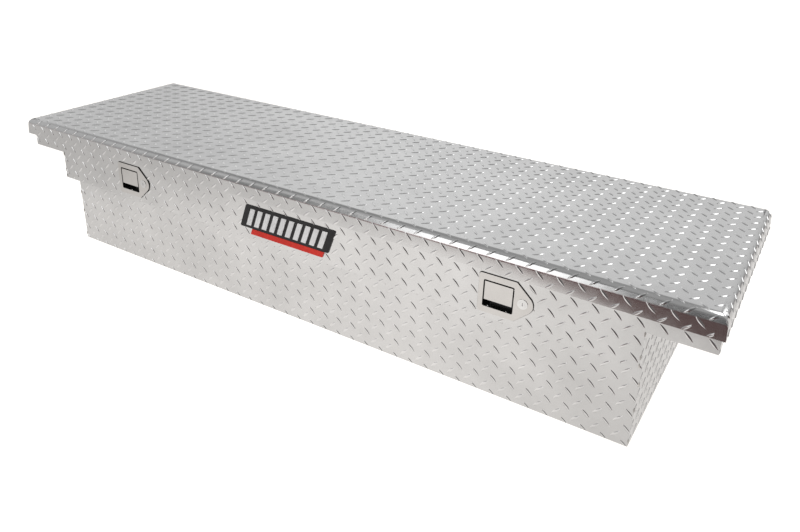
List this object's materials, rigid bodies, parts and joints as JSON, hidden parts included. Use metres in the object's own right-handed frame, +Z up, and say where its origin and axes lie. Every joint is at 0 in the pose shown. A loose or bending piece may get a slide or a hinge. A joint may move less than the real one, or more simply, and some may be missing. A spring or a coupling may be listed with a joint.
{
  "type": "truck tool box",
  "caption": "Crossover truck bed tool box in aluminium tread plate: stepped tub with rail wings, one-piece hinged lid, paddle latches with key locks, and gas struts.",
  "frame": {"origin": "centre of the underside of the overall box", "axes": "X along the box, Y from the latch side (front) to the hinge side (back), Z up"},
  "size_m": [1.765, 0.508, 0.34],
  "materials": {
    "tread_plate": "bright tread plate with raised lozenges",
    "plain_sheet": "mill-finish sheet",
    "weld": "weld bead",
    "stainless": "polished stainless steel",
    "zinc_steel": "zinc-plated steel",
    "chrome": "bright chrome",
    "rubber_black": "matt black foam rubber",
    "gloss_black": "gloss black",
    "silver_trim": "bright silver",
    "red_trim": "gloss red",
    "black_paint": "satin black paint"
  },
  "bodies": {
    "tub": {"front_sheet": "tread_plate", "bottom_sheet": "plain_sheet", "rear_sheet": "tread_plate", "end_sheet_left": "tread_plate", "end_sheet_right": "tread_plate", "rim_flange": "plain_sheet", "rim_seal": "rubber_black", "corner_welds": "weld", "hinge_body_leaf": "stainless", "hinge_pin": "stainless", "hinge_body_rivets": "plain_sheet", "badge_base": "gloss_black", "badge_bars": "silver_trim", "badge_stripe": "red_trim", "latch_gasket_left": "rubber_black", "latch_pan_left": "stainless", "latch_bracket_left": "zinc_steel", "latch_rivets_left": "zinc_steel", "claw_pin_left": "zinc_steel", "paddle_pin_left": "stainless", "paddle_spring_left": "zinc_steel", "lock_barrel_left": "chrome", "lock_nut_left": "zinc_steel", "strut_body_bracket_left": "zinc_steel", "latch_gasket_right": "rubber_black", "latch_pan_right": "stainless", "latch_bracket_right": "zinc_steel", "latch_rivets_right": "zinc_steel", "claw_pin_right": "zinc_steel", "paddle_pin_right": "stainless", "paddle_spring_right": "zinc_steel", "lock_barrel_right": "chrome", "lock_nut_right": "zinc_steel", "strut_body_bracket_right": "zinc_steel"},
    "lid": {"lid_skin": "tread_plate", "lid_front_stiffener": "plain_sheet", "lid_rear_stiffener": "plain_sheet", "hinge_lid_leaf": "stainless", "hinge_lid_rivets": "plain_sheet", "striker_left": "zinc_steel", "strut_lid_bracket_left": "zinc_steel", "striker_right": "zinc_steel", "strut_lid_bracket_right": "zinc_steel"},
    "paddle_left": {"paddle_left": "stainless"},
    "claw_left": {"claw_left": "zinc_steel"},
    "lock_left": {"lock_plug_left": "chrome", "lock_cam_left": "zinc_steel"},
    "strut_cylinder_left": {"strut_cylinder_left": "black_paint"},
    "strut_rod_left": {"strut_rod_left": "chrome"},
    "paddle_right": {"paddle_right": "stainless"},
    "claw_right": {"claw_right": "zinc_steel"},
    "lock_right": {"lock_plug_right": "chrome", "lock_cam_right": "zinc_steel"},
    "strut_cylinder_right": {"strut_cylinder_right": "black_paint"},
    "strut_rod_right": {"strut_rod_right": "chrome"}
  },
  "joints": [
    {"name": "lid_hinge", "type": "hinge", "parent": "tub", "child": "lid", "pos_m": [0, 0.2491, 0.3015], "axis": [-1, 0, 0], "range_deg": [0, 75]},
    {"name": "paddle_pull_left", "type": "hinge", "parent": "tub", "child": "paddle_left", "pos_m": [-0.5, -0.2343, 0.26545], "axis": [-1, 0, 0], "range_deg": [0, 35], "stiffness_Nm_per_rad": 0.12, "springref_deg": -20.05},
    {"name": "claw_turn_left", "type": "hinge", "parent": "tub", "child": "claw_left", "pos_m": [-0.5, -0.1927, 0.26055], "axis": [1, 0, 0], "range_deg": [0, 30.1]},
    {"name": "key_turn_left", "type": "hinge", "parent": "tub", "child": "lock_left", "pos_m": [-0.452, -0.2187, 0.2445], "axis": [0, 1, 0], "range_deg": [0, 90]},
    {"name": "strut_foot_left", "type": "hinge", "parent": "tub", "child": "strut_cylinder_left", "pos_m": [-0.7419, 0.19372, 0.10932], "axis": [-1, 0, 0], "range_deg": [0, 37.6]},
    {"name": "strut_head_left", "type": "hinge", "parent": "lid", "child": "strut_rod_left", "pos_m": [-0.7419, 0.04946, 0.3135], "axis": [1, 0, 0], "range_deg": [0, 37.6]},
    {"name": "paddle_pull_right", "type": "hinge", "parent": "tub", "child": "paddle_right", "pos_m": [0.5, -0.2343, 0.26545], "axis": [-1, 0, 0], "range_deg": [0, 35], "stiffness_Nm_per_rad": 0.12, "springref_deg": -20.05},
    {"name": "claw_turn_right", "type": "hinge", "parent": "tub", "child": "claw_right", "pos_m": [0.5, -0.1927, 0.26055], "axis": [1, 0, 0], "range_deg": [0, 30.1]},
    {"name": "key_turn_right", "type": "hinge", "parent": "tub", "child": "lock_right", "pos_m": [0.548, -0.2187, 0.2445], "axis": [0, 1, 0], "range_deg": [0, 90]},
    {"name": "strut_foot_right", "type": "hinge", "parent": "tub", "child": "strut_cylinder_right", "pos_m": [0.7419, 0.19372, 0.10932], "axis": [-1, 0, 0], "range_deg": [0, 37.6]},
    {"name": "strut_head_right", "type": "hinge", "parent": "lid", "child": "strut_rod_right", "pos_m": [0.7419, 0.04946, 0.3135], "axis": [1, 0, 0], "range_deg": [0, 37.6]}
  ],
  "couplings": [
    {"joint": "claw_turn_left", "follows": "paddle_pull_left", "ratio": 0.85714},
    {"joint": "strut_foot_left", "follows": "lid_hinge", "ratio": 0.5},
    {"joint": "strut_head_left", "follows": "lid_hinge", "ratio": 0.5},
    {"joint": "claw_turn_right", "follows": "paddle_pull_right", "ratio": 0.85714},
    {"joint": "strut_foot_right", "follows": "lid_hinge", "ratio": 0.5},
    {"joint": "strut_head_right", "follows": "lid_hinge", "ratio": 0.5}
  ]
}
